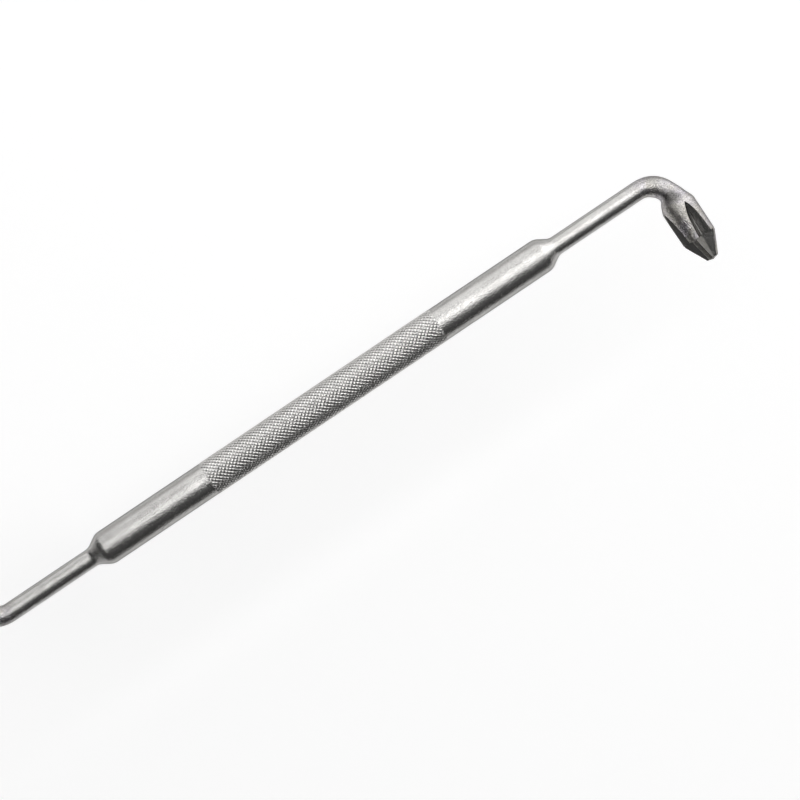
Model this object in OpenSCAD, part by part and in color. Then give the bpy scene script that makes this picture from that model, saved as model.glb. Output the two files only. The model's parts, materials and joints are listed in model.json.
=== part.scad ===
// Double-ended offset screwdriver: a knurled steel grip with a bent Phillips shank pressed into
// one end and a bent slotted shank pressed into the other. It lies flat in the XY plane, with the
// origin at the middle of the grip, +X along the handle to the Phillips end and +Z up.

/* [Handle bar] */
// Diameter of the smooth bar at both collars
bar_d = 6; // [5:0.1:8]
// Length of the smooth collar from the knurling to the corner of its nose
collar_len = 21; // [12:0.5:32]
// Length of the tapered nose between collar and neck
nose_len = 2.2; // [1.5:0.1:5]
// Radius that takes the edge off the nose corner
nose_round = 1.5; // [0.2:0.1:2]
// Radius of the hollow where the nose runs into the neck
neck_fillet = 2; // [0.5:0.1:3]

/* [Knurled grip] */
// Length of the knurled grip
grip_len = 46; // [40:1:70]
// Number of knurling grooves around the grip in each hand
knurl_starts = 26; // [16:1:28]
// Spacing of the diamonds along the grip
knurl_pitch = 0.79; // [0.75:0.01:1.6]
// Height of the crests above the smooth bar
knurl_rise = 0.075; // [0.02:0.005:0.15]
// Depth of the groove crossings below the smooth bar
knurl_cut = 0.11; // [0.05:0.01:0.25]

/* [Press joint] */
// Diameter of the tang that goes into the grip
tang_d = 3.6; // [3:0.1:4.4]
// Length of the tang
tang_len = 14; // [8:0.1:16.5]
// Lead chamfer on the end of the tang
tang_chamfer = 0.4; // [0.1:0.1:0.8]
// Depth of the flat that lets air out of the bore
vent_depth = 0.2; // [0.1:0.05:0.4]
// Room between the end of the tang and the bottom of the bore
bore_room = 0.5; // [0.2:0.1:1]
// Room between tang and bore, on the radius
fit_clearance = 0.01; // [0.005:0.005:0.05]

/* [Neck and elbow] */
// Diameter of the neck
neck_d = 3.26; // [2.6:0.02:4]
// Distance from the nose corner to the axis of the leg
neck_reach = 23.2; // [16:0.1:34]
// Length over which the neck swells to the thickness of the elbow
neck_swell = 2.5; // [1:0.1:4]
// Diameter of the neck round the elbow
elbow_d = 3.6; // [3:0.02:4.4]
// Radius of the elbow, measured at the middle of the neck
elbow_r = 4.25; // [3.2:0.05:6]

/* [Leg] */
// Distance from the handle's axis to the end of the tip
leg_len = 16.5; // [14:0.5:24]
// Largest diameter of the leg, at the foot of the flare
leg_d = 6.04; // [5.4:0.02:7]
// Half angle of the flare below the elbow
flare_angle = 24; // [18:1:40]
// Radius that rounds the foot of the flare
shoulder_round = 2.5; // [0.5:0.1:4]
// Diameter of the leg at its lower end
leg_end_d = 5.84; // [5.2:0.02:7]

/* [Phillips tip] */
// Diameter of the point
point_d = 2.1; // [1.8:0.01:2.6]
// Height of the blunt cone on the point
point_h = 0.3; // [0.1:0.05:0.5]
// Half angle of the tapered wings
wing_angle = 26.5; // [22:0.5:32]
// Width of the flat on each tapered wing
wing_flat = 0.74; // [0.6:0.02:1]
// Slope of the bevels on both sides of that flat
bevel_angle = 75; // [68:1:80]
// Height of the small ledge, above the taper, at which the bevels start
bevel_ledge = 0.3; // [0.1:0.05:0.6]
// Included angle of the flutes
flute_angle = 90; // [80:1:100]
// Width of the narrow floor of the flutes
flute_floor = 0.45; // [0.1:0.05:0.6]
// Distance from the axis to the sharp root of the flutes at the point
flute_root = 0.68; // [0.55:0.01:0.8]
// Slope of the flute floor to the axis
flute_slope = 8; // [6:0.5:9]
// Straight length of the flutes, from the point to where the cutter stopped
flute_run = 7; // [5.5:0.5:8]
// Diameter of the cutter that leaves the curved end of the flutes
cutter_d = 20; // [16:1:30]
// Turn of the first flute from straight up
flute_turn = 15; // [0:1:89]

/* [Slotted tip] */
// Thickness of the slotted blade at its end
blade_t = 1; // [0.8:0.05:1.4]
// Radius of the hollow ground faces of the blade
grind_r = 18; // [12:0.5:30]
// Chamfer that takes the edge off the end of the blade
blade_chamfer = 0.15; // [0.05:0.05:0.3]

/* [Hidden] */
$fn = 96;
steel = [0.76, 0.75, 0.73];
grip_steel = [0.7, 0.69, 0.67];
bar_r = bar_d / 2;
leg_r = leg_d / 2;
leg_end_r = leg_end_d / 2;
point_r = point_d / 2;
grip_end = grip_len / 2;
bore_d = tang_d + 2 * fit_clearance;
bore_depth = tang_len + bore_room;
// A drill leaves a cone with a half angle of 59 degrees at the bottom of its hole
drill_half_angle = 59;
drill_point_h = bore_d / 2 / tan(drill_half_angle);
nose_x = grip_end + collar_len;
leg_x = nose_x + neck_reach;
elbow_x = leg_x - elbow_r;
// The flare starts inside the elbow, where the elbow still covers its small end
flare_start = elbow_r / 2;
flare_start_r = 0.73 * elbow_d / 2;
flare_end = flare_start + (leg_r - flare_start_r) / tan(flare_angle);
wing_len = (leg_end_r - point_r) / tan(wing_angle);
wing_start = leg_len - point_h - wing_len;
flute_count = 4;
flute_stop = leg_len - flute_run;
flute_stop_root = flute_root + flute_run * tan(flute_slope);
// Cutters reach this far past the faces that they cut
over = 1;
knurl_sides = 2 * knurl_starts;
knurl_rings = 2 * round(grip_len / knurl_pitch);

// Unit vector along v
function unit(v) = v / norm(v);

// Points of an arc of radius r that rounds the corner q between its neighbours p and s
function rounded_corner(p, q, s, r, steps = 8) =
    r == 0 ? [q] :
    let (
        a = unit(p - q),
        b = unit(s - q),
        half = acos(a * b) / 2,
        centre = q + unit(a + b) * r / sin(half),
        from = q + a * r / tan(half) - centre,
        to = q + b * r / tan(half) - centre,
        start = atan2(from.y, from.x),
        turn = (atan2(to.y, to.x) - start + 540) % 360 - 180
    )
    [for (i = [0:steps]) centre + r * [cos(start + turn * i / steps), sin(start + turn * i / steps)]];

// Outline through the corners, each given as [x, y, radius]
function rounded_outline(corners) =
    let (n = len(corners), points = [for (c = corners) [c.x, c.y]])
    [for (i = [0:n - 1])
        each rounded_corner(points[(i + n - 1) % n], points[i], points[(i + 1) % n], corners[i][2])];

// Turns a shape that was made along +Z to lie along the handle
module along_handle() {
    rotate([0, 90, 0]) children();
}

// Moves a shape that was made along +Z, with +Y up, to the leg
module along_leg() {
    translate([leg_x, 0, 0]) rotate([90, 0, 0]) children();
}

// Tang, collar, nose and neck, turned about the handle's axis
module turned_bar() {
    neck_r = neck_d / 2;
    tang_r = tang_d / 2;
    tang_end = grip_end - tang_len;
    along_handle() rotate_extrude() polygon(rounded_outline([
        [0, tang_end, 0],
        [tang_r - tang_chamfer, tang_end, 0],
        [tang_r, tang_end + tang_chamfer, 0],
        [tang_r, grip_end, 0],
        [bar_r, grip_end, 0],
        [bar_r, nose_x, nose_round],
        [neck_r, nose_x + nose_len, neck_fillet],
        [neck_r, elbow_x - neck_swell, 0],
        [elbow_d / 2, elbow_x, 0],
        [0, elbow_x, 0]
    ]));
}

// Flat along the tang that lets trapped air out as the tang is pressed in
module vent_flat() {
    translate([grip_end - tang_len - over, -tang_d / 2, tang_d / 2 - vent_depth])
        cube([tang_len + over, tang_d, tang_d]);
}

// Quarter ring that turns the neck down into the leg
module elbow() {
    translate([elbow_x, -elbow_r, 0])
        rotate_extrude(angle = 90) translate([elbow_r, 0]) circle(d = elbow_d);
}

// Flared leg, turned about its own axis; the corners of its lower end are given from the rim inwards
module leg_blank(rim_z, lower_end) {
    rotate_extrude() polygon(rounded_outline(concat([
        [0, flare_start, 0],
        [flare_start_r, flare_start, 0],
        [leg_r, flare_end, shoulder_round],
        [leg_end_r, rim_z, 0]
    ], lower_end)));
}

// Cross section of a flute, with its sharp root at the origin and its mouth towards +X
module flute_section() {
    half = flute_angle / 2;
    floor_x = flute_floor / 2 / tan(half);
    mouth_x = leg_d;
    polygon([
        [floor_x, flute_floor / 2],
        [mouth_x, mouth_x * tan(half)],
        [mouth_x, -mouth_x * tan(half)],
        [floor_x, -flute_floor / 2]
    ]);
}

// One flute: a straight run that deepens to the point, and the round end that the cutter leaves
module flute() {
    cutter_r = cutter_d / 2;
    translate([flute_stop_root, 0, flute_stop]) rotate([0, -flute_slope, 0]) {
        linear_extrude(flute_run / cos(flute_slope) + over) flute_section();
        translate([cutter_r, 0, 0]) rotate([90, 0, 0])
            rotate_extrude() translate([cutter_r, 0]) mirror([1, 0]) flute_section();
    }
}

// Space beside the flat of the wing that points to +X, on its +Y side, along the taper of the point
module beside_wing() {
    half = wing_flat / 2;
    slant = wing_len / cos(wing_angle);
    translate([point_r, 0, leg_len - point_h]) rotate([0, -wing_angle, 0])
        translate([0, 0, -slant - 2 * over]) linear_extrude(slant + 4 * over) polygon([
            [0, half],
            [-leg_r, half + leg_r / tan(bevel_angle)],
            [-leg_r, leg_d],
            [leg_d, leg_d],
            [leg_d, half]
        ]);
}

// Cut that bevels the two wings beside the flute that points to +X, from the ledge to the point
module wing_bevels() {
    turn = 180 / flute_count;
    intersection() {
        rotate(-turn) beside_wing();
        rotate(turn) mirror([0, 1]) beside_wing();
        translate([0, -leg_d, wing_start - bevel_ledge]) cube([leg_d, 2 * leg_d, leg_len]);
    }
}

module phillips_leg() {
    along_leg() difference() {
        leg_blank(wing_start, [
            [point_r, leg_len - point_h, 0],
            [0, leg_len, 0]
        ]);
        for (i = [0:flute_count - 1])
            rotate(90 - flute_turn + i * 360 / flute_count) {
                flute();
                wing_bevels();
            }
    }
}

module slotted_leg() {
    along_leg() difference() {
        leg_blank(leg_len - blade_chamfer, [
            [leg_end_r - blade_chamfer, leg_len, 0],
            [0, leg_len, 0]
        ]);
        for (side = [-1, 1])
            translate([0, side * (blade_t / 2 + grind_r), leg_len]) rotate([0, 90, 0])
                cylinder(r = grind_r, h = leg_d + 2 * over, center = true);
    }
}

// Diamond knurling: crests and groove crossings alternate around and along the grip
module knurled_bar() {
    crest_r = bar_r + knurl_rise;
    crossing_r = bar_r - knurl_cut;
    ring_r = [for (i = [0:knurl_rings], j = [0:knurl_sides - 1])
        i == 0 || i == knurl_rings ? bar_r - knurl_cut / 2 : (i + j) % 2 == 1 ? crest_r : crossing_r];
    points = [for (i = [0:knurl_rings], j = [0:knurl_sides - 1])
        let (r = ring_r[i * knurl_sides + j], a = 360 * j / knurl_sides)
        [grip_len * (i / knurl_rings - 0.5), r * cos(a), r * sin(a)]];
    diamonds = [for (i = [0:knurl_rings - 1], j = [0:knurl_sides - 1])
        let (
            k = (j + 1) % knurl_sides,
            a = i * knurl_sides + j,
            b = i * knurl_sides + k,
            c = a + knurl_sides,
            d = b + knurl_sides
        )
        each (i + j) % 2 == 0 ? [[a, d, b], [a, c, d]] : [[a, c, b], [b, c, d]]];
    near_end = [for (j = [0:knurl_sides - 1]) j];
    far_end = [for (j = [knurl_sides - 1:-1:0]) knurl_rings * knurl_sides + j];
    polyhedron(points, concat(diamonds, [near_end, far_end]));
}

// Blind bore for a tang, drilled from the +X end
module tang_bore() {
    along_handle() {
        translate([0, 0, grip_end - bore_depth]) cylinder(d = bore_d, h = bore_depth + over);
        translate([0, 0, grip_end - bore_depth - drill_point_h])
            cylinder(d1 = 0, d2 = bore_d, h = drill_point_h);
    }
}

module knurled_grip() {
    color(grip_steel) difference() {
        knurled_bar();
        for (turn = [0, 180]) rotate(turn) tang_bore();
    }
}

module phillips_shank() {
    color(steel) difference() {
        union() {
            turned_bar();
            elbow();
            phillips_leg();
        }
        vent_flat();
    }
}

// Points the other way at the other end, so the tool is Z shaped
module slotted_shank() {
    color(steel) rotate(180) difference() {
        union() {
            turned_bar();
            elbow();
            slotted_leg();
        }
        vent_flat();
    }
}

knurled_grip();
phillips_shank();
slotted_shank();
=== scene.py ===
"""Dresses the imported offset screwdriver: a knurled grip and two bent shanks of nickel plated steel."""

import json
import math

import bmesh
import bpy
from mathutils import Matrix, Vector


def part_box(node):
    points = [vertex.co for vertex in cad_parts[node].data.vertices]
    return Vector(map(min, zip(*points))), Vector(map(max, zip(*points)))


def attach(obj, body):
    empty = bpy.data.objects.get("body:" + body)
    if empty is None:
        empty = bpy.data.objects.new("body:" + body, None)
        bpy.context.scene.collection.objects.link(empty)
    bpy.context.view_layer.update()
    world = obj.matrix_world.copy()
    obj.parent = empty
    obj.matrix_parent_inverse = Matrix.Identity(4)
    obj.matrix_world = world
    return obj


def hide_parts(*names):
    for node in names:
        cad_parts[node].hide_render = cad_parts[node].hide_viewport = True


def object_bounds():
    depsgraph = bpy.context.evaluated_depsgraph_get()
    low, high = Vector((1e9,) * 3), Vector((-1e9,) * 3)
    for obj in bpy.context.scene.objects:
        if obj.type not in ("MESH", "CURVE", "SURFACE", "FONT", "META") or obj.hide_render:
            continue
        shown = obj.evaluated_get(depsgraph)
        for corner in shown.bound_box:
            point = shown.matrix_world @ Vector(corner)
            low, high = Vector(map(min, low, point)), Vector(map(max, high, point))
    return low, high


bl_info = {
    "name": "Offset screwdriver",
    "version": (1, 0, 0),
    "blender": (4, 5, 0),
    "location": "3D View > Sidebar > Screwdriver",
    "description": "Models a double-ended offset screwdriver with a diamond-knurled grip",
    "category": "Add Mesh",
}

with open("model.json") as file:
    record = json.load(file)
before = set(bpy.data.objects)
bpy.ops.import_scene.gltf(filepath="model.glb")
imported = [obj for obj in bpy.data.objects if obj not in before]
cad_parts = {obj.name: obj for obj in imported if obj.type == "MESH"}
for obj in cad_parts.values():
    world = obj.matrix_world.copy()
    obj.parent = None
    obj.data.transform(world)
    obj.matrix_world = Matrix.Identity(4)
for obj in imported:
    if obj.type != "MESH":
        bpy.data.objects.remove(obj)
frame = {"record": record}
CAD_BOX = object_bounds()
MM = 0.001
MOUNTS = {mount["name"]: mount for mount in frame["record"]["mounts"]}
TIP_PLACE = MOUNTS["phillips_tip"]["pos_m"]
GRIP_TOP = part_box("knurled_grip")[1]
UP = Vector((0.0, 0.0, 1.0))
TANG_ROOM = 0.01 * MM
DRILL_HALF_ANGLE = math.radians(59)

# Steps round one quarter of a shank: half the flat of a wing, its bevel, the flank of a flute, and its floor
FLAT_STEPS = 4
BEVEL_STEPS = 6
FLANK_STEPS = 5
FLOOR_STEPS = 2
QUARTER_STEPS = 2 * (FLAT_STEPS + BEVEL_STEPS + FLANK_STEPS) + FLOOR_STEPS
ROUND_STEPS = 4 * QUARTER_STEPS
CORNER_STEPS = 8
ELBOW_STEPS = 40
LEG_STEPS = 84
WING_STEPS = 40
# Half angle within which a round section's points crowd together: on the handle, and where the leg starts
HANDLE_MOUTH = math.pi / 8
LEG_MOUTH = math.radians(10)
# Share of that angle that is lost by the place where the flutes start
MOUTH_LOSS = 0.9
# Most of a round section's radius that half the flat of a wing takes
ROUND_FLAT = 0.3
# Most of a wing that its flat takes, and of a flank that the floor of the flute takes
WING_SHARE = 0.8
# Least half angle of the upper side of the blade's sections
BLADE_CORNER = math.radians(4)
# Steps across one diamond of the knurling, both ways
DIAMOND_STEPS = 4
# Rise of a diamond from its grooves, which leaves the crest flat, and height of the knurling at its ends
DIAMOND_RISE = 1.7
KNURL_END = 0.45
# Share of the knurling's depth, from its crests, at which the painted shade in the grooves ends
GROOVE_SHADE_TOP = 0.4
# Degrees past which an edge is shaded sharp
GRIP_SHARP = 12
SHANK_SHARP = 20

# Patches of painted shade on the upper side of each bend, that dim its highlights: back from the leg's axis,
# down the leg, half length, half width, strength, finish
BEND_SHADES = (
    (0.5 * MM, 0.8 * MM, 3.0 * MM, 2.2 * MM, 0.6, "scale"),
    (0.4 * MM, 4.0 * MM, 2.2 * MM, 1.5 * MM, 0.92, "stain"),
)
DOWN = (0, 0, -1)
# Lights: name, setting that holds the radiance, share of it, place, aim, width, height
SOFTBOXES = (
    ("top_softbox", "top_light", 1.0, (0.5, 0.23, 1.0), DOWN, 1.75, 0.74),
    ("near_strip", "strip_light", 1.0, (0.6, -0.24, 1.0), DOWN, 1.4, 0.20),
    ("middle_strip", "strip_light", 0.4, (0.6, -0.46, 1.0), DOWN, 1.4, 0.24),
    ("far_strip", "strip_light", 0.15, (0.6, -0.81, 1.0), DOWN, 1.4, 0.46),
    ("back_softbox", "back_light", 1.0, (0.6, 1.2, 0.8), (0, -1, 0), 2.3, 1.6),
    ("right_softbox", "right_light", 1.0, (1.5, 0.45, 0.7), (-1, 0, 0), 1.3, 1.4),
)
# Cards beside the frame that give the metal its dark edges: name, place across, height of the top, tone
CARDS = (
    ("front_card", -0.116, 0.06, 0.06),
    ("back_card", 0.104, -0.002, 0.9),
)
CARD_X = 0.03
CARD_WIDTH = 0.6
FLOOR_SIZE = 8.0
# Roughness of the floor and the cards
MATT = 0.9


def length(name, description, default):
    """A size in metres that a user can set."""
    return bpy.props.FloatProperty(
        name=name, description=description, default=default, min=0.0, precision=5, unit="LENGTH"
    )


def angle(name, description, degrees):
    """An angle that a user can set, given in degrees."""
    return bpy.props.FloatProperty(
        name=name, description=description, default=math.radians(degrees), subtype="ANGLE"
    )


def colour(name, description, default):
    """A colour that a user can set."""
    return bpy.props.FloatVectorProperty(
        name=name, description=description, default=default, subtype="COLOR", size=3, min=0.0, max=1.0
    )


def share(name, description, default, most=1.0):
    """A plain number that a user can set."""
    return bpy.props.FloatProperty(name=name, description=description, default=default, min=0.0, max=most)


class HandleSizes(bpy.types.PropertyGroup):
    """Sizes of the grip, the collars and the necks."""

    bar_radius: length("Bar", "Radius of the smooth collars", MOUNTS["phillips_collar"]["dims"]["r_mm"] * MM)
    grip_half: length("Half grip", "Half the length of the knurled grip", GRIP_TOP.x)
    crest_radius: length("Crests", "Radius over the crests of the knurling", GRIP_TOP.z)
    groove_depth: length("Grooves", "Depth of the knurling below its crests", 0.085 * MM)
    diamond_length: length("Diamonds", "Spacing of the diamonds along the grip", 0.79 * MM)
    diamonds_round: bpy.props.IntProperty(
        name="Round", description="Diamonds round the grip", default=26, min=12
    )
    tang_radius: length("Tang", "Radius of the tang inside the grip", 1.8 * MM)
    tang_length: length("Tang length", "Length of the tang inside the grip", 14 * MM)
    tang_chamfer: length("Tang chamfer", "Lead chamfer on the tang", 0.4 * MM)
    bore_room: length("Bore room", "Room past the end of the tang", 0.5 * MM)
    collar_length: length("Collar", "Length of the smooth collar", 21 * MM)
    nose_length: length("Nose", "Length of the tapered nose", 2.2 * MM)
    nose_round: length("Nose round", "Radius on the nose corner", 2.4 * MM)
    neck_fillet: length("Neck fillet", "Radius of the hollow between nose and neck", 2.0 * MM)
    neck_radius: length("Neck", "Radius of the neck at the nose", 1.625 * MM)
    elbow_thick: length("Elbow", "Radius of the neck round the elbow", 1.8 * MM)
    elbow_radius: length("Elbow bend", "Radius of the elbow at the middle of the neck", 4.25 * MM)


class LegSizes(bpy.types.PropertyGroup):
    """Sizes of the two legs and their tips."""

    reach: length("Reach", "Distance from the handle's axis to the axis end of a tip", -TIP_PLACE[1])
    axis_x: length("Axis", "Distance from the middle of the grip to the axis of a leg", TIP_PLACE[0])
    leg_radius: length("Leg", "Radius of the leg at the foot of the flare", 3.02 * MM)
    leg_end_radius: length("Leg end", "Radius of the leg at its lower end", 2.92 * MM)
    flare_end: length("Flare", "Distance from the handle's axis to the foot of the flare", 5.8 * MM)
    flare_angle: angle("Flare angle", "Half angle of the flare", 24)
    blend: length("Blend", "Softness of the foot and the top of the flare", 0.22 * MM)
    point_radius: length("Point", "Radius of the Phillips point", 1.05 * MM)
    point_height: length("Point height", "Height of the blunt cone on the point", 0.3 * MM)
    wing_angle: angle("Wing angle", "Half angle of the tapered wings", 26.5)
    wing_half: length("Wing", "Half the width of the flat on each tapered wing", 0.37 * MM)
    bevel_angle: angle("Wing bevel", "Slope of the bevels beside the flat of a wing", 79)
    bevel_ledge: length("Bevel ledge", "Height above the taper at which the bevels start", 0.3 * MM)
    flute_floor: length("Flute floor", "Width of the floor of a flute", 0.12 * MM)
    flute_root: length("Flute root", "Distance from the axis to the root of a flute at the point", 0.68 * MM)
    flute_slope: angle("Flute slope", "Slope of the flute floor to the axis", 8)
    flute_run: length("Flute run", "Straight length of a flute from the point", 7.0 * MM)
    cutter_radius: length("Cutter", "Radius of the round upper end of a flute", 10.0 * MM)
    flute_turn: angle("Flute turn", "Turn of the first flute from straight up", 15)
    blade_half: length("Blade", "Half the thickness of the slotted blade at its end", 0.5 * MM)
    blade_chamfer: length("Blade chamfer", "Chamfer on the end of the slotted blade", 0.15 * MM)
    grind_radius: length("Grind", "Radius of the hollow ground faces of the blade", 18.0 * MM)


class NickelFinish(bpy.types.PropertyGroup):
    """Colours and grain of the blasted nickel plate, and the colours of the painted shade on the grip and the
    shanks.
    """

    bright: colour("Bright", "Clean plate", (0.66, 0.65, 0.635))
    shade: colour("Shade", "Duller patches of the plate", (0.53, 0.52, 0.505))
    edge: colour("Edge", "Share that the plate reflects at a low angle", (0.2, 0.2, 0.2))
    crest: colour("Crests", "Burnished crests of the knurling", (0.71, 0.70, 0.685))
    # Painted shade: the grooves of the knurling take this darker colour
    groove_shade: colour("Grime", "Dirt in the grooves of the knurling", (0.66, 0.65, 0.635))
    # Painted shade: these two colours darken patches on the upper side of each bend, grey on the elbow and
    # dark on the flare
    stain: colour("Stain", "Heat stain at the bends", (0.17, 0.165, 0.16))
    scale: colour("Scale", "Dull grey scale round the bends", (0.36, 0.355, 0.35))
    # Painted shade: the legs and their bends are darkened with these two tints, mixed at random
    warm_leg_shade: colour("Straw", "Warm temper colour on the legs", (0.46, 0.438, 0.4))
    cool_leg_shade: colour("Violet", "Cool temper colour on the legs", (0.465, 0.44, 0.475))
    ground: colour("Ground", "Milled flutes and ground faces of the blade", (0.55, 0.54, 0.525))
    grain: length("Grain", "Size of the blasted grain", 0.2 * MM)
    grain_depth: length("Grain depth", "Depth of the blasted grain", 0.07 * MM)
    smooth: share("Smoothest", "Roughness where the plate is smoothest", 0.15)
    rough: share("Roughest", "Roughness where the plate is roughest", 0.42)
    milled: share("Milled", "Roughness of the milled flutes", 0.16)


class StudioSettings(bpy.types.PropertyGroup):
    """Camera, floor and soft lights."""

    view_width: length("View", "Width of the frame at the handle", 800 / 6 * MM)
    view_distance: length("Distance", "Height of the camera above the handle", 300 * MM)
    view_turn: angle("Turn", "Turn of the handle in the frame", 33.89)
    view_x: length("View X", "Place under the middle of the frame, along the handle", 10.68 * MM)
    view_y: bpy.props.FloatProperty(
        name="View Y", description="Place under the middle of the frame, across the handle",
        default=-6.86 * MM, unit="LENGTH"
    )
    lift: length("Lift", "Height of the tool above the floor", 36 * MM)
    floor_colour: colour("Floor", "Plain pale floor", (0.58, 0.58, 0.58))
    floor_glow: share("Glow", "Light that lifts the floor to white", 0.56)
    room: share("Room", "Level of the dim room round the lights", 0.07)
    top_light: share("Top light", "Radiance of the overhead softbox", 1.8, most=10.0)
    strip_light: share("Strip light", "Radiance of the strip beside the overhead softbox", 0.72, most=10.0)
    back_light: share("Back light", "Radiance of the softbox at the back", 1.06, most=10.0)
    right_light: share("Right light", "Radiance of the softbox at the right", 2.1, most=10.0)


def handle_sizes():
    """The handle's sizes, as set in the scene."""
    return bpy.context.scene.screwdriver_handle


def leg_sizes():
    """The legs' sizes, as set in the scene."""
    return bpy.context.scene.screwdriver_legs


def between(low, high, steps):
    """Evenly spaced values from low to high, both included."""
    return [low + (high - low) * i / steps for i in range(steps + 1)]


def soft_max(a, b, softness):
    """The larger of two values, with a rounded change from one to the other."""
    return (a + b + math.hypot(a - b, softness)) / 2


def soft_min(a, b, softness):
    """The smaller of two values, with a rounded change from one to the other."""
    return (a + b - math.hypot(a - b, softness)) / 2


def rounded_profile(corners):
    """Profile points (along, radius) through corners (along, radius, rounding)."""
    profile = []
    last = len(corners) - 1
    for i, (along, radius, rounding) in enumerate(corners):
        corner = Vector((along, radius))
        if rounding == 0 or i in (0, last):
            profile.append(corner)
            continue
        before = (Vector(corners[i - 1][:2]) - corner).normalized()
        after = (Vector(corners[i + 1][:2]) - corner).normalized()
        half = before.angle(after) / 2
        centre = corner + (before + after).normalized() * rounding / math.sin(half)
        first = corner + before * rounding / math.tan(half) - centre
        turn = first.angle_signed(corner + after * rounding / math.tan(half) - centre)
        for step in between(0.0, turn, CORNER_STEPS):
            profile.append(centre + Matrix.Rotation(-step, 2) @ first)
    return profile


def ring_edges(bm, ring):
    """The edges between neighbouring vertices of a ring."""
    return [bm.edges.get((a, b)) for a, b in zip(ring, ring[1:] + ring[:1])]


def pull_ring(bm, ring):
    """Extrudes a ring of vertices and gives the new ring, in the same order."""
    made = bmesh.ops.extrude_edge_only(bm, edges=ring_edges(bm, ring))["geom"]
    fresh = {item for item in made if isinstance(item, bmesh.types.BMVert)}
    return [next(e.other_vert(v) for e in v.link_edges if e.other_vert(v) in fresh) for v in ring]


def place_ring(ring, points):
    """Moves a ring's vertices to the points."""
    for vertex, point in zip(ring, points):
        vertex.co = point


def sweep(bm, stations):
    """Skins a closed body through rings of points; gives its rings and the cap on the last one."""
    rings = [bmesh.ops.create_circle(bm, segments=len(stations[0]), radius=MM)["verts"]]
    place_ring(rings[0], stations[0])
    for points in stations[1:]:
        rings.append(pull_ring(bm, rings[-1]))
        place_ring(rings[-1], points)
    for end in (rings[0], rings[-1]):
        cap = bmesh.ops.contextual_create(bm, geom=ring_edges(bm, end))["faces"][0]
    bmesh.ops.recalc_face_normals(bm, faces=bm.faces)
    return rings, cap


def mark_milled(layer, rings, lands):
    """Notes on the vertices where the flutes are, between the lands, given as steps in half a land."""
    for ring, land in zip(rings, lands):
        for i, vertex in enumerate(ring):
            vertex[layer] = 1.0 if land < i % QUARTER_STEPS < QUARTER_STEPS - land else 0.0


def mark_ground(layer, rings, ground):
    """Notes on the vertices where a blade is ground flat, above and below."""
    for ring, flat in zip(rings, ground):
        for i, vertex in enumerate(ring):
            vertex[layer] = 1.0 if flat and i % (ROUND_STEPS // 2) <= ROUND_STEPS // 4 else 0.0


def finish_piece(bm, name, node, material, sharp_degrees):
    """Turns a bmesh into a piece that stands for a CAD node."""
    mesh = bpy.data.meshes.new(name)
    bm.to_mesh(mesh)
    bm.free()
    mesh.polygons.foreach_set("use_smooth", [True] * len(mesh.polygons))
    mesh.set_sharp_from_angle(angle=math.radians(sharp_degrees))
    mesh.materials.append(material)
    piece = bpy.data.objects.new(name, mesh)
    bpy.context.scene.collection.objects.link(piece)
    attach(piece, "root")
    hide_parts(node)
    return piece


def spread_section(quarter):
    """Section points (out, up) from the polar points (angle, radius) of one quarter, turned to the flutes."""
    points = []
    for q in range(4):
        turn = leg_sizes().flute_turn + q * math.pi / 2
        points += [(r * math.sin(turn + a), r * math.cos(turn + a)) for a, r in quarter]
    return points


def round_section(radius, mouth):
    """A round section whose points crowd together where the flutes will start, within the mouth angle."""
    flat = math.asin(min(leg_sizes().wing_half / radius, ROUND_FLAT))
    land = between(0.0, flat, FLAT_STEPS)[:-1] + between(flat, math.pi / 4 - mouth, BEVEL_STEPS)
    land = [a - math.pi / 4 for a in land]
    notch = between(-mouth, mouth, 2 * FLANK_STEPS + FLOOR_STEPS)[1:-1]
    angles = land + notch + [-a for a in reversed(land)][:-1]
    return spread_section([(a, radius) for a in angles])


def fluted_section(radius, root):
    """The cross of four wings that four square flutes with a narrow floor leave of a round section."""
    sizes = leg_sizes()
    half = root / math.sqrt(2)
    flat = min(sizes.wing_half, WING_SHARE * half)
    aside = between(0.0, flat, FLAT_STEPS)[:-1] + between(flat, half, BEVEL_STEPS)
    land = [(math.sqrt(radius ** 2 - t ** 2), t) for t in aside]
    edge = land[-1][0]
    foot = half + min(sizes.flute_floor / math.sqrt(2), WING_SHARE * (edge - half))
    wing = land + [(s, half) for s in between(edge, foot, FLANK_STEPS)[1:]]
    return wing_section(wing, [(foot + half - s, s) for s in between(half, foot, FLOOR_STEPS)[1:-1]])


def bevelled_section(radius, cone):
    """The cross of four slim wings below the ledge; their bevels run along the cone that tapers the point."""
    sizes = leg_sizes()
    gain = math.cos(sizes.wing_angle) / math.tan(sizes.bevel_angle)
    flat = sizes.wing_half + (cone - radius) * gain
    crown = math.sqrt(radius ** 2 - flat ** 2)
    root = (flat + crown * gain) / (1 + gain)
    wing = [(math.sqrt(radius ** 2 - t ** 2), t) for t in between(0.0, flat, FLAT_STEPS)[:-1]]
    down = between(crown, root, BEVEL_STEPS + FLANK_STEPS + FLOOR_STEPS // 2)
    wing += [(s, flat + (crown - s) * gain) for s in down]
    return wing_section(wing[:-1], wing[-1:])


def wing_section(wing, floor):
    """A section from points (out, aside) of half a wing and of the flute beside it."""
    left = [(math.atan2(t, s) - math.pi / 4, math.hypot(s, t)) for s, t in wing]
    middle = [(math.atan2(t, s) - math.pi / 4, math.hypot(s, t)) for s, t in floor]
    right = [(-a, r) for a, r in reversed(left)][:-1]
    return spread_section(left + middle + right)


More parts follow.
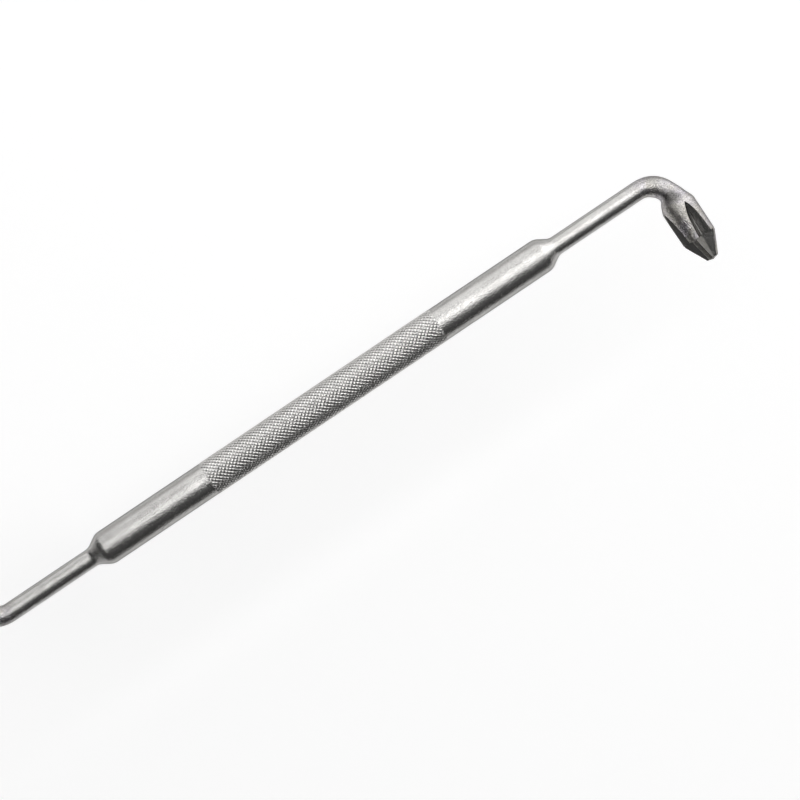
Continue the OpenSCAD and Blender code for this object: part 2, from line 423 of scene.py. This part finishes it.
def flute_root(distance):
    """Distance from the leg's axis to the root of the flutes, at a distance from the handle's axis."""
    sizes = leg_sizes()
    slope = sizes.flute_slope
    stop = sizes.reach - sizes.flute_run
    stop_root = sizes.flute_root + sizes.flute_run * math.tan(slope)
    if distance >= stop:
        return sizes.flute_root + (sizes.reach - distance) * math.tan(slope)
    centre_z = stop + sizes.cutter_radius * math.sin(slope)
    centre_r = stop_root + sizes.cutter_radius * math.cos(slope)
    return centre_r - math.sqrt(sizes.cutter_radius ** 2 - (distance - centre_z) ** 2)


def elbow_thickness(turn):
    """Radius of the bar at a turn of the elbow; it thickens over the first half of the bend."""
    handle = handle_sizes()
    grown = min(turn / (math.pi / 4), 1.0)
    return handle.neck_radius + (handle.elbow_thick - handle.neck_radius) * grown * grown * (3 - 2 * grown)


def flare_radius(distance):
    """Radius of the flare's cone at a distance from the handle's axis."""
    sizes = leg_sizes()
    return sizes.leg_radius - (sizes.flare_end - distance) * math.tan(sizes.flare_angle)


def leg_radius(distance):
    """Radius of the leg without its tip, at a distance from the handle's axis."""
    sizes = leg_sizes()
    down = (distance - sizes.flare_end) / (sizes.reach - sizes.flare_end)
    body = sizes.leg_radius + (sizes.leg_end_radius - sizes.leg_radius) * max(down, 0.0)
    flare = soft_max(handle_sizes().elbow_thick, flare_radius(distance), sizes.blend)
    return soft_min(flare, body, sizes.blend / 2)


def handle_profile():
    """Profile of a shank from the end of its tang to the start of its elbow."""
    handle = handle_sizes()
    tang_end = handle.grip_half - handle.tang_length
    nose = handle.grip_half + handle.collar_length
    elbow = leg_sizes().axis_x - handle.elbow_radius
    return rounded_profile([
        (tang_end, handle.tang_radius - handle.tang_chamfer, 0),
        (tang_end + handle.tang_chamfer, handle.tang_radius, 0),
        (handle.grip_half, handle.tang_radius, 0),
        (handle.grip_half, handle.bar_radius, 0),
        (nose, handle.bar_radius, handle.nose_round),
        (nose + handle.nose_length, handle.neck_radius, handle.neck_fillet),
        (elbow, handle.neck_radius, 0),
    ])


def ring_points(centre, out, section):
    """World points of a section (out, up) set round a centre."""
    return [centre + out * a + UP * b for a, b in section]


def shank_stations(bar_section, leg_sections):
    """Rings of a shank: the turned bar, the elbow, then the given (distance, section) rings of its leg.

    The bar's section is asked for with its radius and the share of the elbow that is already turned.
    """
    handle = handle_sizes()
    legs = leg_sizes()
    bend = handle.elbow_radius
    stations = []
    for along, radius in handle_profile()[:-1]:
        stations.append(ring_points(Vector((along, 0, 0)), Vector((0, 1, 0)), bar_section(radius, 0.0)))
    hub = Vector((legs.axis_x - bend, -bend, 0))
    for turn in between(0.0, math.pi / 2, ELBOW_STEPS)[:-1]:
        out = Vector((math.sin(turn), math.cos(turn), 0))
        distance = bend * (1 + turn - math.pi / 2)
        radius = soft_max(elbow_thickness(turn), flare_radius(distance), legs.blend)
        stations.append(ring_points(hub + out * bend, out, bar_section(radius, turn / (math.pi / 2))))
    for distance, section in leg_sections:
        stations.append(ring_points(Vector((legs.axis_x, -distance, 0)), Vector((1, 0, 0)), section))
    return stations


def phillips_sections():
    """Sections of the Phillips leg from the elbow to the rim of its point, and the steps in half a land."""
    handle = handle_sizes()
    sizes = leg_sizes()
    tip = sizes.reach - sizes.point_height
    wing = tip - (sizes.leg_end_radius - sizes.point_radius) / math.tan(sizes.wing_angle)
    sections = []
    lands = []
    body = between(handle.elbow_radius, wing, LEG_STEPS)
    apex = next(d for d in body if flute_root(d) < leg_radius(d))
    for distance in body[:-1] + between(wing, tip, WING_STEPS):
        cone = sizes.point_radius + (tip - distance) * math.tan(sizes.wing_angle)
        radius = min(leg_radius(distance), cone)
        if distance < apex:
            nearness = (distance - handle.elbow_radius) / (apex - handle.elbow_radius)
            sections.append((distance, round_section(radius, LEG_MOUTH * (1 - MOUTH_LOSS * nearness))))
            lands.append(QUARTER_STEPS)
        elif distance < wing - sizes.bevel_ledge:
            sections.append((distance, fluted_section(radius, flute_root(distance))))
            lands.append(FLAT_STEPS + BEVEL_STEPS)
        else:
            sections.append((distance, bevelled_section(radius, cone)))
            lands.append(FLAT_STEPS)
    return sections, lands


def blade_section(radius, half):
    """A round section with a flat above and below, where the half thickness is less than the radius."""
    corner = math.acos(min(half / radius, math.cos(BLADE_CORNER)))
    steps = ROUND_STEPS // 4
    above = [(radius * x, min(half, radius * math.sqrt(1 - x * x)))
             for x in between(-math.sin(corner), math.sin(corner), steps)[:-1]]
    beside = [(radius * math.sin(a), radius * math.cos(a))
              for a in between(corner, math.pi - corner, steps)[:-1]]
    return above + beside + [(-x, -y) for x, y in above + beside]


def slotted_sections():
    """Sections of the slotted leg from the elbow to the end of its blade, and whether each is ground flat."""
    handle = handle_sizes()
    sizes = leg_sizes()
    sections = []
    ground = []
    end = sizes.reach
    rim = end - sizes.blade_chamfer
    for distance in between(handle.elbow_radius, rim, LEG_STEPS + WING_STEPS) + [end]:
        radius = leg_radius(distance) - max(0.0, distance - rim)
        rise = sizes.grind_radius - math.sqrt(sizes.grind_radius ** 2 - (end - distance) ** 2)
        sections.append((distance, blade_section(radius, sizes.blade_half + rise)))
        ground.append(sizes.blade_half + rise < radius)
    return sections, ground


def knurl_height(along, around):
    """Share of the full height at a place on the knurling, given in steps along and round the grip."""
    half = DIAMOND_STEPS / 2
    hands = [abs((along + hand * around) % DIAMOND_STEPS - half) for hand in (1, -1)]
    nearest_groove = 1 - max(hands) / half
    return min(1.0, DIAMOND_RISE * nearest_groove)


def knurled_tube(bm):
    """The outer skin of the grip, with its diamonds, open at both ends."""
    handle = handle_sizes()
    count = handle.diamonds_round * DIAMOND_STEPS
    steps = round(2 * handle.grip_half / handle.diamond_length) * DIAMOND_STEPS
    step = 2 * handle.grip_half / steps
    ring = bmesh.ops.create_circle(bm, segments=count, radius=handle.crest_radius)["verts"]
    stand_up = Matrix.Translation((-handle.grip_half, 0, 0)) @ Matrix.Rotation(math.pi / 2, 4, "Y")
    bmesh.ops.transform(bm, matrix=stand_up, verts=ring)
    bmesh.ops.spin(
        bm, geom=ring_edges(bm, ring), cent=(0, 0, 0), axis=(1, 0, 0), dvec=(step, 0, 0), angle=0, steps=steps
    )
    for vertex in bm.verts:
        along = round((vertex.co.x + handle.grip_half) / step)
        around = round(math.atan2(vertex.co.z, vertex.co.y) / (2 * math.pi) * count)
        height = KNURL_END if along in (0, steps) else knurl_height(along, around)
        radius = handle.crest_radius - handle.groove_depth * (1 - height)
        vertex.co.yz = vertex.co.yz.normalized() * radius
    bmesh.ops.triangulate(bm, faces=bm.faces, quad_method="SHORT_EDGE")


def open_loops(bm):
    """The rings of vertices round the open ends of a tube, each in order."""
    loops = []
    left = {e for e in bm.edges if e.is_boundary}
    while left:
        edge = left.pop()
        loop = [edge.verts[0], edge.verts[1]]
        while True:
            following = next((e for e in loop[-1].link_edges if e in left), None)
            if following is None:
                break
            left.remove(following)
            loop.append(following.other_vert(loop[-1]))
        loops.append(loop[:-1])
    return loops


def bore_end(bm, ring):
    """Closes one end of the grip with its end face and the blind bore for a tang."""
    handle = handle_sizes()
    side = math.copysign(1.0, ring[0].co.x)
    bore = handle.tang_radius + TANG_ROOM
    depth = handle.tang_length + handle.bore_room
    drill_point = bore / math.tan(DRILL_HALF_ANGLE)
    for inward in (0.0, depth):
        ring = pull_ring(bm, ring)
        for vertex in ring:
            across = vertex.co.yz.normalized() * bore
            vertex.co = (side * (handle.grip_half - inward), *across)
    bottom = Vector((side * (handle.grip_half - depth - drill_point), 0, 0))
    bmesh.ops.pointmerge(bm, verts=pull_ring(bm, ring), merge_co=bottom)


def add(tree, kind, x, y, **settings):
    """A node at a place in a tree, with its settings."""
    node = tree.nodes.new(kind)
    node.location = (x, y)
    for key, value in settings.items():
        setattr(node, key, value)
    return node


def feed(tree, value, socket):
    """Links an input to a socket, or sets it to a number or a colour."""
    if isinstance(value, bpy.types.NodeSocket):
        tree.links.new(value, socket)
    elif socket.type == "RGBA":
        socket.default_value = (*value, 1.0)
    else:
        socket.default_value = value


def new_material(name):
    """A material with nodes, its node tree and its shader."""
    material = bpy.data.materials.new(name)
    material.use_nodes = True
    return material, material.node_tree, material.node_tree.nodes["Principled BSDF"]


def new_group(name, inputs, outputs):
    """A shader node group with its sockets, and its input and output nodes."""
    group = bpy.data.node_groups.new(name, "ShaderNodeTree")
    for label, default in inputs.items():
        socket = group.interface.new_socket(label, in_out="INPUT", socket_type="NodeSocketFloat")
        socket.default_value = default
    for label in outputs:
        group.interface.new_socket(label, in_out="OUTPUT", socket_type="NodeSocketFloat")
    return group, add(group, "NodeGroupInput", -1500, 300), add(group, "NodeGroupOutput", 700, 0)


def noise(tree, place, scale, x, y, detail=2.0):
    """A noise texture on object coordinates, with a scale per metre; gives its output."""
    texture = add(tree, "ShaderNodeTexNoise", x, y)
    texture.inputs["Detail"].default_value = detail
    tree.links.new(place, texture.inputs["Vector"])
    feed(tree, scale, texture.inputs["Scale"])
    return texture.outputs["Fac"]


def math_node(tree, operation, values, x, y, clamp=False):
    """A math node on sockets or numbers; gives its output."""
    node = add(tree, "ShaderNodeMath", x, y, operation=operation, use_clamp=clamp)
    for socket, value in zip(node.inputs, values):
        feed(tree, value, socket)
    return node.outputs[0]


def vector_node(tree, operation, first, second, x, y):
    """A vector math node on two sockets; gives its output."""
    node = add(tree, "ShaderNodeVectorMath", x, y, operation=operation)
    tree.links.new(first, node.inputs[0])
    tree.links.new(second, node.inputs["Scale" if operation == "SCALE" else 1])
    return node.outputs["Vector"]


def vector_length(tree, vector, x, y):
    """Length of a vector; gives the output."""
    node = add(tree, "ShaderNodeVectorMath", x, y, operation="LENGTH")
    tree.links.new(vector, node.inputs[0])
    return node.outputs["Value"]


def combine(tree, x, y, **parts):
    """A vector from parts X, Y and Z, each a socket or a number; gives its output."""
    node = add(tree, "ShaderNodeCombineXYZ", x, y)
    for axis, value in parts.items():
        feed(tree, value, node.inputs[axis])
    return node.outputs["Vector"]


def map_range(tree, value, low, high, to_low, to_high, x, y):
    """A clamped change of range; gives its output."""
    node = add(tree, "ShaderNodeMapRange", x, y)
    tree.links.new(value, node.inputs["Value"])
    for socket, limit in zip(("From Min", "From Max", "To Min", "To Max"), (low, high, to_low, to_high)):
        node.inputs[socket].default_value = limit
    return node.outputs["Result"]


def mix(tree, factor, first, second, x, y, kind="RGBA"):
    """A mix of two colours, or of two numbers with the kind FLOAT; gives its output."""
    node = add(tree, "ShaderNodeMix", x, y, data_type=kind)
    tree.links.new(factor, node.inputs["Factor"])
    feed(tree, first, node.inputs["A"])
    feed(tree, second, node.inputs["B"])
    return node.outputs["Result"]


def object_axes(tree, x, y):
    """Object coordinates and their three parts."""
    place = add(tree, "ShaderNodeTexCoord", x, y).outputs["Object"]
    split = add(tree, "ShaderNodeSeparateXYZ", x + 200, y)
    tree.links.new(place, split.inputs[0])
    return place, split.outputs


def blasted_grain():
    """Group: blasted grain, dull patches, the mix of the warm and cool tints of the legs' painted shade, and
    specks; the legs are coarser than the handle.
    """
    name = "blasted_grain"
    if name in bpy.data.node_groups:
        return bpy.data.node_groups[name]
    leg_coarser = 0.4
    most_dull = 0.6
    speck_density = 1.3
    handle_specks = 0.1
    leg_specks = 0.4
    leg_gloss = 0.4
    patch_gloss = 0.2
    inputs = {"Grains": 5000.0, "Patches": 260.0, "Tints": 420.0}
    group, given, result = new_group(name, inputs, ("Height", "Patch", "Gloss", "Leg", "Temper", "Speckle"))
    place, axes = object_axes(group, -1500, -300)
    out = math_node(group, "ABSOLUTE", (axes["X"],), -1100, -500)
    bend_start = leg_sizes().axis_x - 1.6 * handle_sizes().elbow_radius
    bend_end = leg_sizes().axis_x - 2.0 * MM
    leg = map_range(group, out, bend_start, bend_end, 0.0, 1.0, -900, -500)
    fine = noise(group, place, given.outputs["Grains"], -900, 300, detail=1.0)
    slow = noise(group, place, given.outputs["Patches"], -900, -150, detail=4.0)
    tint = noise(group, place, given.outputs["Tints"], -900, -850)
    coarse = math_node(group, "MULTIPLY_ADD", (leg, leg_coarser, 1.0), -600, 100)
    dense = math_node(group, "MULTIPLY", (given.outputs["Grains"], speck_density), -1100, 600)
    dots = noise(group, place, dense, -900, 600, detail=0.0)
    dots = map_range(group, dots, 0.3, 0.7, -1.0, 1.0, -600, 600)
    strong = map_range(group, leg, 0.0, 1.0, handle_specks, leg_specks, -600, 350)
    dull = map_range(group, slow, 0.3, 0.7, 0.0, patch_gloss, -600, -400)
    made = {
        "Height": math_node(group, "MULTIPLY", (fine, coarse), -200, 200),
        "Patch": map_range(group, slow, 0.3, 0.7, 0.0, most_dull, -600, -150),
        "Gloss": math_node(group, "MULTIPLY_ADD", (leg, leg_gloss, dull), -200, -400, clamp=True),
        "Leg": leg,
        "Temper": map_range(group, tint, 0.4, 0.6, 0.0, 1.0, -600, -850),
        "Speckle": math_node(group, "MULTIPLY_ADD", (dots, strong, 1.0), -200, 500),
    }
    for socket, output in made.items():
        group.links.new(output, result.inputs[socket])
    return group


def heat_stain():
    """Group: a patch of painted shade on the upper side of each bend, with its place back from the leg and
    down it.
    """
    name = "heat_stain"
    if name in bpy.data.node_groups:
        return bpy.data.node_groups[name]
    height = 2.0 * MM
    slant = math.radians(-55)
    patch_noise_scale = 900.0
    raggedness = 0.5
    inputs = {"Back": 0.0, "Down": 0.0, "Long": MM, "Wide": MM, "Strength": 1.0}
    group, given, result = new_group(name, inputs, ("Stain",))
    place, axes = object_axes(group, -1500, 0)
    along = math_node(group, "ABSOLUTE", (axes["X"],), -1100, 100)
    across = math_node(group, "ABSOLUTE", (axes["Y"],), -1100, -100)
    folded = combine(group, -900, 0, X=along, Y=across, Z=axes["Z"])
    back = math_node(group, "SUBTRACT", (leg_sizes().axis_x, given.outputs["Back"]), -1100, -300)
    centre = combine(group, -900, -300, X=back, Y=given.outputs["Down"], Z=height)
    turn = add(group, "ShaderNodeVectorRotate", -500, 0, rotation_type="Z_AXIS")
    turn.inputs["Angle"].default_value = slant
    group.links.new(vector_node(group, "SUBTRACT", folded, centre, -700, 0), turn.inputs["Vector"])
    wide = given.outputs["Wide"]
    half = combine(group, -700, -500, X=given.outputs["Long"], Y=wide, Z=wide)
    far = vector_length(group, vector_node(group, "DIVIDE", turn.outputs[0], half, -300, 0), -100, 0)
    patch_noise = noise(group, place, patch_noise_scale, -500, -300)
    ragged = math_node(group, "MULTIPLY_ADD", (patch_noise, raggedness, far), 100, 0)
    there = map_range(group, ragged, 0.7, 1.3, 1.0, 0.0, 300, 0)
    stain = math_node(group, "MULTIPLY", (there, given.outputs["Strength"]), 500, 0)
    group.links.new(stain, result.inputs["Stain"])
    return group


def knurled_plate(tree, grain, finish):
    """Colour of the grip: burnished crests, with painted shade that darkens the grooves between them."""
    handle = handle_sizes()
    plate = mix(tree, grain.outputs["Patch"], finish.crest, finish.bright, -700, 200)
    axes = object_axes(tree, -1300, 600)[1]
    radius = vector_length(tree, combine(tree, -900, 600, Y=axes["Y"], Z=axes["Z"]), -700, 600)
    groove = handle.crest_radius - handle.groove_depth
    shade_top = handle.crest_radius - GROOVE_SHADE_TOP * handle.groove_depth
    # Painted shade: the deeper a point of the knurling, the more of the groove colour it takes
    depth = map_range(tree, radius, groove, shade_top, 1.0, 0.0, -500, 600)
    return mix(tree, depth, plate, finish.groove_shade, -250, 300)


def forged_plate(tree, grain, milled, finish):
    """Colour of a shank: plate, painted shade that darkens its leg in warm and cool tints, the milled faces
    and painted shade on the upper side of its bend.
    """
    # Painted shade: most of each leg that is not milled takes the darker warm and cool tints
    leg_shade_share = 0.75
    plate = mix(tree, grain.outputs["Patch"], finish.bright, finish.shade, -900, 200)
    leg_shade = mix(tree, grain.outputs["Temper"], finish.warm_leg_shade, finish.cool_leg_shade, -900, 500)
    unmilled = math_node(tree, "SUBTRACT", (grain.outputs["Leg"], milled), -1100, 350, clamp=True)
    leg_shade_mask = math_node(tree, "MULTIPLY", (unmilled, leg_shade_share), -900, 350)
    plate = mix(tree, leg_shade_mask, plate, leg_shade, -700, 300)
    plate = mix(tree, milled, plate, finish.ground, -550, 300)
    # Painted shade: darker patches on the upper side of each bend
    for i, (*sizes, tint) in enumerate(BEND_SHADES):
        x = -400 + 150 * i
        stain = add(tree, "ShaderNodeGroup", x, 600, node_tree=heat_stain())
        for socket, value in zip(("Back", "Down", "Long", "Wide", "Strength"), sizes):
            stain.inputs[socket].default_value = value
        plate = mix(tree, stain.outputs["Stain"], plate, getattr(finish, tint), x, 300)
    return plate


def nickel(name, knurled=False):
    """Blasted nickel plate, for the knurled grip or for a shank."""
    finish = bpy.context.scene.screwdriver_finish
    milled_calm = 0.6
    milled_bump = 0.2
    material, tree, shader = new_material(name)
    shader.inputs["Metallic"].default_value = 1.0
    feed(tree, finish.crest if knurled else finish.edge, shader.inputs["Specular Tint"])
    grain = add(tree, "ShaderNodeGroup", -1300, 0, node_tree=blasted_grain())
    grain.inputs["Grains"].default_value = 1 / finish.grain
    milled = add(tree, "ShaderNodeAttribute", -1300, -500, attribute_name="milled").outputs["Fac"]
    plate = knurled_plate(tree, grain, finish) if knurled else forged_plate(tree, grain, milled, finish)
    calm = math_node(tree, "MULTIPLY", (milled, milled_calm), -450, 50)
    speckle = mix(tree, calm, grain.outputs["Speckle"], 1.0, -300, 50, kind="FLOAT")
    tree.links.new(vector_node(tree, "SCALE", plate, speckle, -100, 200), shader.inputs["Base Color"])
    rough = map_range(tree, grain.outputs["Gloss"], 0.0, 1.0, finish.smooth, finish.rough, -700, -150)
    rough = mix(tree, milled, rough, finish.milled, -450, -150, kind="FLOAT")
    tree.links.new(rough, shader.inputs["Roughness"])
    level = map_range(tree, milled, 0.0, 1.0, 1.0, milled_bump, -700, -500)
    bump = add(tree, "ShaderNodeBump", -250, -400)
    bump.inputs["Distance"].default_value = finish.grain_depth
    height = math_node(tree, "MULTIPLY", (grain.outputs["Height"], level), -450, -400)
    tree.links.new(height, bump.inputs["Height"])
    tree.links.new(bump.outputs["Normal"], shader.inputs["Normal"])
    return material


class SCREWDRIVER_OT_knurled_grip(bpy.types.Operator):
    """Model the knurled grip with its two blind bores"""

    bl_idname = "screwdriver.knurled_grip"
    bl_label = "Knurled grip"

    def execute(self, context):
        bm = bmesh.new()
        knurled_tube(bm)
        for ring in open_loops(bm):
            bore_end(bm, ring)
        bmesh.ops.recalc_face_normals(bm, faces=bm.faces)
        material = nickel("knurled_nickel", knurled=True)
        finish_piece(bm, "grip_with_diamonds", "knurled_grip", material, GRIP_SHARP)
        return {"FINISHED"}


class SCREWDRIVER_OT_phillips_shank(bpy.types.Operator):
    """Model the Phillips shank: tang, collar, neck, elbow and fluted leg"""

    bl_idname = "screwdriver.phillips_shank"
    bl_label = "Phillips shank"

    def execute(self, context):
        bm = bmesh.new()
        milled = bm.verts.layers.float.new("milled")
        sections, lands = phillips_sections()
        closing = LEG_MOUTH - HANDLE_MOUTH
        stations = shank_stations(
            lambda radius, turned: round_section(radius, HANDLE_MOUTH + closing * turned), sections
        )
        rings, end = sweep(bm, stations)
        mark_milled(milled, rings[-len(lands):], lands)
        bmesh.ops.poke(bm, faces=[end], offset=context.scene.screwdriver_legs.point_height)
        material = nickel("satin_nickel_phillips")
        finish_piece(bm, "phillips_forging", "phillips_shank", material, SHANK_SHARP)
        return {"FINISHED"}


class SCREWDRIVER_OT_slotted_shank(bpy.types.Operator):
    """Model the slotted shank: tang, collar, neck, elbow and hollow ground blade"""

    bl_idname = "screwdriver.slotted_shank"
    bl_label = "Slotted shank"

    def execute(self, context):
        bm = bmesh.new()
        milled = bm.verts.layers.float.new("milled")
        sections, ground = slotted_sections()
        stations = shank_stations(lambda radius, turned: blade_section(radius, radius), sections)
        rings = sweep(bm, stations)[0]
        mark_ground(milled, rings[-len(ground):], ground)
        bmesh.ops.rotate(bm, cent=(0, 0, 0), matrix=Matrix.Rotation(math.pi, 3, "Z"), verts=bm.verts)
        material = nickel("satin_nickel_slotted")
        finish_piece(bm, "slotted_forging", "slotted_shank", material, SHANK_SHARP)
        return {"FINISHED"}


def pale_floor(studio):
    """Plain pale floor whose glow is seen but lights nothing, so the shadow stays."""
    material, tree, shader = new_material("pale_floor")
    feed(tree, studio.floor_colour, shader.inputs["Base Color"])
    shader.inputs["Roughness"].default_value = MATT
    shader.inputs["Specular IOR Level"].default_value = 0.0
    rays = add(tree, "ShaderNodeLightPath", -700, -300)
    seen = rays.outputs["Is Camera Ray"]
    for x, ray in ((-450, "Is Glossy Ray"), (-250, "Is Transmission Ray")):
        seen = math_node(tree, "MAXIMUM", (seen, rays.outputs[ray]), x, -300)
    glow = add(tree, "ShaderNodeEmission", 100, -300)
    tree.links.new(math_node(tree, "MULTIPLY", (seen, studio.floor_glow), -50, -300), glow.inputs["Strength"])
    total = add(tree, "ShaderNodeAddShader", 300, 0)
    tree.links.new(shader.outputs[0], total.inputs[0])
    tree.links.new(glow.outputs[0], total.inputs[1])
    tree.links.new(total.outputs[0], tree.nodes["Material Output"].inputs["Surface"])
    return material


def card_board(name, tone):
    """Plain matt card."""
    material, tree, shader = new_material(name)
    feed(tree, (tone, tone, tone), shader.inputs["Base Color"])
    shader.inputs["Roughness"].default_value = MATT
    return material


def sheet(name, place, wide, tall, material):
    """A flat rectangle for the stage, set in place."""
    bm = bmesh.new()
    bmesh.ops.create_grid(bm, x_segments=1, y_segments=1, size=0.5)
    bmesh.ops.scale(bm, vec=(wide, tall, 1), verts=bm.verts)
    bmesh.ops.transform(bm, matrix=place, verts=bm.verts)
    mesh = bpy.data.meshes.new(name)
    bm.to_mesh(mesh)
    bm.free()
    mesh.materials.append(material)
    flat = bpy.data.objects.new(name, mesh)
    bpy.context.scene.collection.objects.link(flat)
    return flat


def softbox(name, place, aim, wide, tall, radiance):
    """A rectangular light of even radiance, out of the camera's sight."""
    light = bpy.data.lights.new(name, "AREA")
    light.shape = "RECTANGLE"
    light.size = wide
    light.size_y = tall
    light.energy = radiance * math.pi * wide * tall
    lamp = bpy.data.objects.new(name, light)
    lamp.location = place
    lamp.rotation_euler = Vector(aim).to_track_quat("-Z", "Y").to_euler()
    lamp.visible_camera = False
    bpy.context.scene.collection.objects.link(lamp)


class SCREWDRIVER_OT_studio(bpy.types.Operator):
    """Set up the pale floor, the soft lights and the camera"""

    bl_idname = "screwdriver.studio"
    bl_label = "Studio"

    def execute(self, context):
        scene = context.scene
        studio = scene.screwdriver_studio
        floor_z = CAD_BOX[0].z - studio.lift
        under = Matrix.Translation((0, 0, floor_z))
        sheet("floor", under, FLOOR_SIZE, FLOOR_SIZE, pale_floor(studio))
        upright = Matrix.Rotation(math.pi / 2, 4, "X")
        for name, y, top, tone in CARDS:
            place = Matrix.Translation((CARD_X, y, (floor_z + top) / 2)) @ upright
            card = sheet(name, place, CARD_WIDTH, top - floor_z, card_board(name, tone))
            card.visible_camera = False
            card.visible_diffuse = False
            card.visible_shadow = False
        for name, setting, part, place, aim, wide, tall in SOFTBOXES:
            softbox(name, place, aim, wide, tall, getattr(studio, setting) * part)
        world = bpy.data.worlds.new("dim_room")
        world.use_nodes = True
        feed(world.node_tree, (studio.room,) * 3, world.node_tree.nodes["Background"].inputs["Color"])
        scene.world = world
        lens = bpy.data.cameras.new("camera")
        lens.lens = lens.sensor_width * studio.view_distance / studio.view_width
        lens.clip_start = 0.01
        camera = bpy.data.objects.new("camera", lens)
        camera.location = (studio.view_x, studio.view_y, studio.view_distance)
        camera.rotation_euler = (0, 0, -studio.view_turn)
        scene.collection.objects.link(camera)
        scene.camera = camera
        scene.view_settings.view_transform = "Standard"
        return {"FINISHED"}


class SCREWDRIVER_PT_panel(bpy.types.Panel):
    """Lists the pieces of the screwdriver and their sizes"""

    bl_idname = "SCREWDRIVER_PT_panel"
    bl_label = "Offset screwdriver"
    bl_space_type = "VIEW_3D"
    bl_region_type = "UI"
    bl_category = "Screwdriver"

    def draw(self, context):
        for operator in OPERATORS:
            self.layout.operator(operator.bl_idname)
        for name in GROUPS:
            box = self.layout.box()
            group = getattr(context.scene, name)
            for key in group.__annotations__:
                box.prop(group, key)


OPERATORS = (
    SCREWDRIVER_OT_knurled_grip,
    SCREWDRIVER_OT_phillips_shank,
    SCREWDRIVER_OT_slotted_shank,
    SCREWDRIVER_OT_studio,
)
GROUPS = {
    "screwdriver_handle": HandleSizes,
    "screwdriver_legs": LegSizes,
    "screwdriver_finish": NickelFinish,
    "screwdriver_studio": StudioSettings,
}


def register():
    """Registers the classes and hangs the sizes on the scene."""
    for cls in (*GROUPS.values(), *OPERATORS, SCREWDRIVER_PT_panel):
        bpy.utils.register_class(cls)
    for name, cls in GROUPS.items():
        setattr(bpy.types.Scene, name, bpy.props.PointerProperty(type=cls))


def unregister():
    """Takes the sizes off the scene and unregisters the classes."""
    for name in GROUPS:
        delattr(bpy.types.Scene, name)
    for cls in reversed((*GROUPS.values(), *OPERATORS, SCREWDRIVER_PT_panel)):
        bpy.utils.unregister_class(cls)


def main():
    """Builds the screwdriver and its studio."""
    register()
    bpy.ops.screwdriver.studio()
    bpy.ops.screwdriver.knurled_grip()
    bpy.ops.screwdriver.phillips_shank()
    bpy.ops.screwdriver.slotted_shank()


if __name__ == "__main__":
    main()
